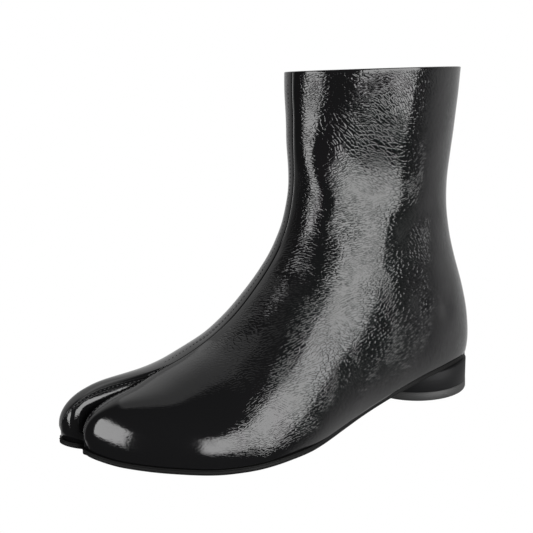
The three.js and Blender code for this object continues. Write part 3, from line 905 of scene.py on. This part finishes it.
def tube(name, lines, radius, material, segments=8):
    """A thin round strand along each line of points."""
    points, faces = [], []
    for line, normal in lines:
        along = np.gradient(line, axis=0)
        along /= np.maximum(np.linalg.norm(along, axis=-1, keepdims=True), 1e-9)
        side = np.cross(along, normal)
        side /= np.maximum(np.linalg.norm(side, axis=-1, keepdims=True), 1e-9)
        up = np.cross(side, along)
        start = len(points)
        for i in range(len(line)):
            thin = THIN_END if i in (0, len(line) - 1) else 1.0
            for k in range(segments):
                a = 2 * math.pi * k / segments
                points.append(line[i] + radius * thin * (math.cos(a) * side[i] + math.sin(a) * up[i]))
        for i in range(len(line) - 1):
            for k in range(segments):
                a, b = start + i * segments + k, start + i * segments + (k + 1) % segments
                faces.append([a, b, b + segments, a + segments])
        faces.append([start + k for k in range(segments)][::-1])
        faces.append([start + (len(line) - 1) * segments + k for k in range(segments)])
    obj = make_object(name, points, faces, [material])
    recalculate(obj)
    return obj


# A stitch and the gap to the next one, and how a stitch rises along its
# length, in mm.
STITCH, STITCH_GAP = 1.5, 0.8
STITCH_RISE = np.array([-0.22, 0.02, 0.08, 0.02, -0.22])[:, None]
STITCH_LIFT = 0.03


def stitches(line, normal):
    """Cuts a long line into short stitches."""
    steps = np.linalg.norm(np.diff(line, axis=0), axis=-1)
    total = np.concatenate([[0], np.cumsum(steps)])
    out = []
    begin = 0.0
    while begin + STITCH < total[-1]:
        places = np.linspace(begin, begin + STITCH, len(STITCH_RISE))
        p = np.stack([np.interp(places, total, line[:, k]) for k in range(3)], axis=-1)
        n = np.stack([np.interp(places, total, normal[:, k]) for k in range(3)], axis=-1)
        out.append((p + n * STITCH_RISE, n))
        begin += STITCH + STITCH_GAP
    return out


# The station at which the cleft ends, from a short list of stations.
SHORT_COUNTS = (4, 2, 4, 2, 2)
CLEFT_STATION = station_list(SHORT_COUNTS)[0][SHORT_COUNTS[0] + SHORT_COUNTS[1]]
# Stations left free over the cleft's end and under the collar, stations past
# the cleft's end on the toes, and the share of the way to the tip.
SEAM_FREE, COLLAR_FREE = 0.15, 0.42
LOBE_PAST, LOBE_REACH = 0.1, 0.93
SEAM_STEPS, LOBE_STEPS = 220, 120


def front_seam_line(side, v, lift):
    """A line along the front seam from the cleft's end up to below the collar."""
    stations = np.linspace(CLEFT_STATION + SEAM_FREE, LAST - COLLAR_FREE, SEAM_STEPS)
    return skin_line(side, stations, v, lift)


def lobe_line(side, v, lift):
    """A line along a toe's cleft edge, from the cleft's end to the tip."""
    turn = np.linspace(0, 1, LOBE_STEPS)
    stations = (CLEFT_STATION + LOBE_PAST) * (1 - np.sin(turn[::-1] * LOBE_REACH * math.pi / 2))
    return skin_line(side, stations, v, lift)


edge_places = [(OUTER, 0.97), (OUTER, 0.80), (INNER, 0.62), (INNER, 0.76)]
edge_lines = [lobe_line(side, v, 0.0) for side, v in edge_places]
seam_edges = tube("seam_edges", edge_lines, 0.2, smooth_patent)

stitch_lines = stitches(*front_seam_line(INNER, 1.07, STITCH_LIFT))
for side, v in ((OUTER, 0.885), (INNER, 0.69)):
    stitch_lines += stitches(*lobe_line(side, v, STITCH_LIFT))
seam_stitches = tube("seam_stitches", stitch_lines, 0.16, thread, segments=6)


# Stage: floor, backdrop and lights, in metres and degrees

def glow_material(name, strength):
    n = Nodes(name)
    n.set(Base_Color=(0, 0, 0, 1), Specular_IOR_Level=0.0)
    n.set(Emission_Color=(1, 1, 1, 1), Emission_Strength=strength)
    return n.material


def stage_mesh(name, points, faces, material):
    mesh = bpy.data.meshes.new(name)
    mesh.from_pydata(points, [], faces)
    obj = bpy.data.objects.new(name, mesh)
    bpy.context.scene.collection.objects.link(obj)
    mesh.materials.append(material)
    return obj


FLOOR = 3
floor_corners = [(-FLOOR, -FLOOR, 0), (FLOOR, -FLOOR, 0), (FLOOR, FLOOR, 0), (-FLOOR, FLOOR, 0)]
floor = stage_mesh("floor", floor_corners, [[0, 1, 2, 3]], glow_material("pale_floor", 1.0))

# A white dome around everything, in rings of points from below the floor up.
DOME_RADIUS, DOME_RINGS, DOME_TURNS = 2.9, 13, 60
DOME_LOWEST, DOME_STEP = -14, 8.6
points, faces = [], []
for k in range(DOME_RINGS):
    tilt = math.radians(DOME_LOWEST + k * DOME_STEP)
    flat = DOME_RADIUS * math.cos(tilt)
    for i in range(DOME_TURNS):
        turn = 2 * math.pi * i / DOME_TURNS
        points.append((flat * math.cos(turn), flat * math.sin(turn), DOME_RADIUS * math.sin(tilt)))
for low in range(0, (DOME_RINGS - 1) * DOME_TURNS, DOME_TURNS):
    for i in range(DOME_TURNS):
        j = (i + 1) % DOME_TURNS
        faces.append([low + i, low + j, low + DOME_TURNS + j, low + DOME_TURNS + i])
backdrop = stage_mesh("backdrop", points, faces, glow_material("white_backdrop", 1.0))
# Only the camera sees floor and dome, so that they stay plain and light nothing.
for obj in (floor, backdrop):
    obj.visible_diffuse = obj.visible_glossy = obj.visible_shadow = False
    obj.visible_transmission = obj.visible_volume_scatter = False


def direction(azimuth, elevation):
    a, e = math.radians(azimuth), math.radians(elevation)
    return Vector((math.sin(a) * math.cos(e), -math.cos(a) * math.cos(e), math.sin(e)))


CARD_LIGHT = 7.0


def light_card(name, centre, distance, corners):
    """A glowing card with its corners in these directions from the centre, as
    azimuth and elevation in degrees. The camera doesn't see it."""
    points = [Vector(centre) + direction(a, e) * distance for a, e in corners]
    card = stage_mesh(name, points, [list(range(len(points)))], glow_material(name + "_glow", CARD_LIGHT))
    card.visible_camera = card.visible_shadow = False


light_card("side_card", (0.08, 0, 0.08), 2.4, [
    (154, -8), (157, 15), (172, 20), (196, 37), (218, 37), (218, -4), (206, -18), (190, -13), (180, -7),
])
light_card("front_card", (0.1, 0, 0.07), 2.2, [(92, -8), (113, -18), (120, 4), (104, 27), (84, 33)])

# A dim soft box overhead.
BOX_TARGET = Vector((0.1, 0, 0.1))
BOX_DIRECTION, BOX_DISTANCE = (-30, 71), 1.3
BOX_WIDTH, BOX_DEPTH, BOX_RADIANCE = 1.5, 1.6, 0.5
box_light = bpy.data.lights.new("top_box", "AREA")
box_light.shape = "RECTANGLE"
box_light.size, box_light.size_y = BOX_WIDTH, BOX_DEPTH
box_light.energy = BOX_RADIANCE * BOX_WIDTH * BOX_DEPTH * math.pi
top_box = bpy.data.objects.new("top_box", box_light)
bpy.context.scene.collection.objects.link(top_box)
top_box.location = BOX_TARGET + direction(*BOX_DIRECTION) * BOX_DISTANCE
top_box.rotation_euler = (BOX_TARGET - top_box.location).to_track_quat("-Z", "Y").to_euler()

# The room: brighter towards one direction and dark away from it.
BRIGHT_WAY = direction(-45, -5)
ROOM = {"From Min": -0.05, "From Max": 0.45, "To Min": 0.06, "To Max": 0.62}
world = bpy.data.worlds.new("room")
world.use_nodes = True
bpy.context.scene.world = world
tree = world.node_tree
background = tree.nodes["Background"]
background.inputs["Color"].default_value = (1, 1, 1, 1)
place = tree.nodes.new("ShaderNodeTexCoord")
facing = tree.nodes.new("ShaderNodeVectorMath")
facing.operation = "DOT_PRODUCT"
facing.inputs[1].default_value = tuple(BRIGHT_WAY)
ramp = tree.nodes.new("ShaderNodeMapRange")
ramp.interpolation_type = "SMOOTHSTEP"
for key, value in ROOM.items():
    ramp.inputs[key].default_value = value
tree.links.new(place.outputs["Generated"], facing.inputs[0])
tree.links.new(facing.outputs["Value"], ramp.inputs["Value"])
tree.links.new(ramp.outputs["Result"], background.inputs["Strength"])

# Camera at the photo's angle
LENS, SENSOR = 60.71, 36
EYE = Vector((0.35661, 0.41926, 0.19614))
AIM = Vector((0.10612, 0, 0.09243))
ROLL = math.radians(-2.707)
camera_data = bpy.data.cameras.new("camera")
camera_data.lens = LENS
camera_data.sensor_width = SENSOR
camera_data.clip_end = 20
camera = bpy.data.objects.new("camera", camera_data)
bpy.context.scene.collection.objects.link(camera)
ahead = (AIM - EYE).normalized()
level_right = ahead.cross(Vector((0, 0, 1))).normalized()
level_up = level_right.cross(ahead)
right = level_right * math.cos(ROLL) + level_up * math.sin(ROLL)
up = -level_right * math.sin(ROLL) + level_up * math.cos(ROLL)
camera.matrix_world = Matrix.Translation(EYE) @ Matrix((right, up, -ahead)).transposed().to_4x4()
bpy.context.scene.camera = camera
bpy.context.scene.view_settings.view_transform = "Standard"
